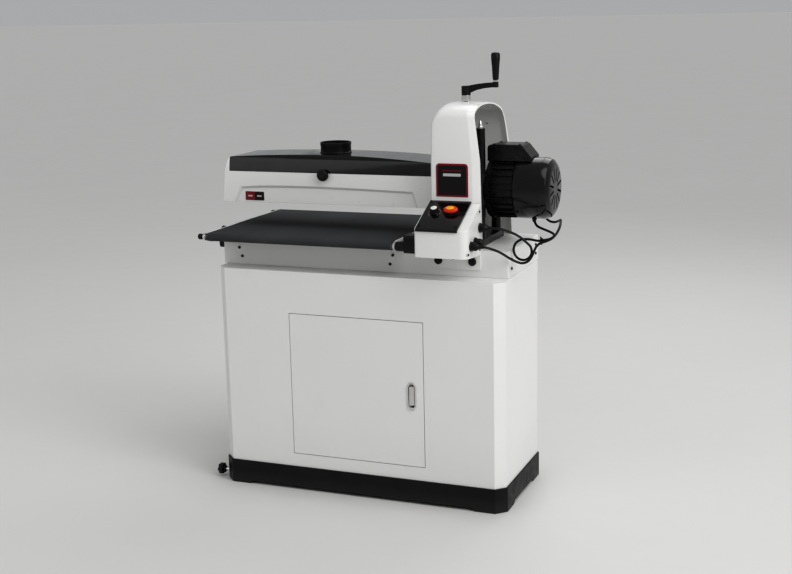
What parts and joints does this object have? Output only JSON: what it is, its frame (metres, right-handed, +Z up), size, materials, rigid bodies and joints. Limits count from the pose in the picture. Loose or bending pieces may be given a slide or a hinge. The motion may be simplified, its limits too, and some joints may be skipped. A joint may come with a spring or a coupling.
{
  "type": "drum sander",
  "caption": "Open-ended drum sander on a closed cabinet stand, with a powered feed belt, hinged hood, crank-raised head and side-mounted motor.",
  "frame": {"origin": "middle of the machine's footprint on the floor, measured without the motor leads", "axes": "+Z up, +X along the drum towards the motor, +Y from the operator's side to the rear"},
  "size_m": [1.1843, 0.5842, 1.4243],
  "materials": {
    "white_paint": "off-white powder coat with a fine orange-peel",
    "black_paint": "satin black paint on castings",
    "gloss_black": "gloss black paint",
    "black_plastic": "moulded black plastic",
    "red_plastic": "moulded red plastic",
    "rubber": "black rubber",
    "feed_belt": "dark grey abrasive cloth belt",
    "steel": "turned bright steel",
    "chrome": "bright plating",
    "aluminium": "machined aluminium",
    "bronze": "bearing bronze",
    "abrasive": "red-brown abrasive cloth"
  },
  "bodies": {
    "stand": {"plinth": "black_plastic", "cabinet_shell": "white_paint", "door_hinge_rod": "steel", "base_frame": "white_paint", "box_bracket": "white_paint", "conveyor_belt": "feed_belt", "conveyor_bed": "white_paint", "roller_bracket_left_front": "aluminium", "roller_bracket_left_rear": "aluminium", "roller_bracket_right_front": "aluminium", "roller_bracket_right_rear": "aluminium", "feed_gearmotor": "black_paint", "gland_upper": "black_plastic", "gland_front": "black_plastic", "gland_rear": "black_plastic", "control_box": "white_paint", "control_panel": "gloss_black", "column_cover": "white_paint", "guide_column": "black_paint", "screw_collar": "chrome", "lead_a_lower": "rubber", "lead_b_lower": "rubber"},
    "levelling_screw": {"levelling_knob": "black_plastic"},
    "door": {"cabinet_door": "white_paint", "latch_housing": "chrome"},
    "latch": {"latch_lever": "aluminium"},
    "table_lever": {"table_lever": "black_paint"},
    "drive": {"drive_roller": "steel", "feed_coupling": "black_plastic"},
    "idler": {"idler_roller": "steel"},
    "dial": {"speed_knob": "black_plastic"},
    "stop": {"stop_paddle": "red_plastic"},
    "crank": {"lead_screw": "steel", "crank_arm": "black_paint"},
    "grip": {"crank_grip": "black_plastic"},
    "head": {"carriage": "black_paint", "nut_bracket": "black_paint", "bearing_inboard": "steel", "bearing_outboard": "steel", "lead_nut": "bronze", "hood_body": "white_paint", "hood_hinge_pin": "steel", "roller_hanger_left": "steel", "roller_hanger_right": "steel", "motor_body": "black_paint", "fan_cover": "black_paint", "junction_box": "black_paint", "cable_tie": "black_plastic", "lead_a_upper": "rubber", "lead_b_upper": "rubber"},
    "lid": {"hood_cover": "gloss_black", "dust_port": "black_plastic"},
    "lid_knob": {"hood_knob": "black_plastic"},
    "drum": {"drum": "aluminium", "abrasive_wrap": "abrasive", "drum_shaft": "steel", "motor_rotor": "steel"},
    "front_roller": {"pressure_roller_front": "rubber"},
    "rear_roller": {"pressure_roller_rear": "rubber"}
  },
  "joints": [
    {"name": "levelling_turn", "type": "hinge", "parent": "stand", "child": "levelling_screw", "pos_m": [-0.52135, -0.19485, 0.027], "axis": [1, 0, 0], "range_deg": [-720, 720]},
    {"name": "door_swing", "type": "hinge", "parent": "stand", "child": "door", "pos_m": [-0.24885, -0.22385, 0.3635], "axis": [0, 0, -1], "range_deg": [0, 110]},
    {"name": "latch_pull", "type": "hinge", "parent": "door", "child": "latch", "pos_m": [0.16965, -0.22285, 0.389], "axis": [-1, 0, 0], "range_deg": [0, 35]},
    {"name": "table_lever_tilt", "type": "hinge", "parent": "stand", "child": "table_lever", "pos_m": [-0.53635, -0.13585, 0.806], "axis": [1, 0, 0], "range_deg": [-40, 0]},
    {"name": "drive_spin", "type": "hinge", "parent": "stand", "child": "drive", "pos_m": [-0.20535, -0.24485, 0.845], "axis": [1, 0, 0], "continuous": true},
    {"name": "idler_spin", "type": "hinge", "parent": "stand", "child": "idler", "pos_m": [-0.20535, 0.27915, 0.845], "axis": [1, 0, 0], "continuous": true},
    {"name": "crank_turn", "type": "hinge", "parent": "stand", "child": "crank", "pos_m": [0.27865, 0.01715, 1.2], "axis": [0, 0, 1], "range_deg": [-17690, 4536]},
    {"name": "head_lift", "type": "slide", "parent": "stand", "child": "head", "axis": [0, 0, 1], "range_m": [-0.078, 0.02]},
    {"name": "grip_spin", "type": "hinge", "parent": "crank", "child": "grip", "pos_m": [0.37665, 0.01715, 1.34], "axis": [0, 0, 1], "continuous": true},
    {"name": "drum_spin", "type": "hinge", "parent": "head", "child": "drum", "pos_m": [-0.19985, 0.01715, 1.003], "axis": [1, 0, 0], "continuous": true},
    {"name": "front_roller_spin", "type": "hinge", "parent": "head", "child": "front_roller", "pos_m": [-0.19985, -0.06085, 0.947], "axis": [1, 0, 0], "continuous": true},
    {"name": "rear_roller_spin", "type": "hinge", "parent": "head", "child": "rear_roller", "pos_m": [-0.19985, 0.09515, 0.947], "axis": [1, 0, 0], "continuous": true},
    {"name": "hood_open", "type": "hinge", "parent": "head", "child": "lid", "pos_m": [-0.16135, 0.12615, 1.043], "axis": [-1, 0, 0], "range_deg": [0, 80]},
    {"name": "hood_knob_turn", "type": "hinge", "parent": "head", "child": "lid_knob", "pos_m": [-0.17935, -0.08485, 1.038], "axis": [0, 1, 0], "range_deg": [-1080, 0]},
    {"name": "speed_knob_turn", "type": "hinge", "parent": "stand", "child": "dial", "pos_m": [0.25065, -0.21185, 0.95014], "axis": [0, 0.4266, -0.9044], "range_deg": [0, 270]},
    {"name": "stop_press", "type": "slide", "parent": "stand", "child": "stop", "axis": [0, 0.4266, -0.9044], "range_m": [0, 0.004], "stiffness_N_per_m": 500, "springref_m": -0.004}
  ],
  "couplings": [
    {"joint": "idler_spin", "follows": "drive_spin", "ratio": 1},
    {"joint": "crank_turn", "follows": "head_lift", "rad_per_m": 3957.9}
  ]
}
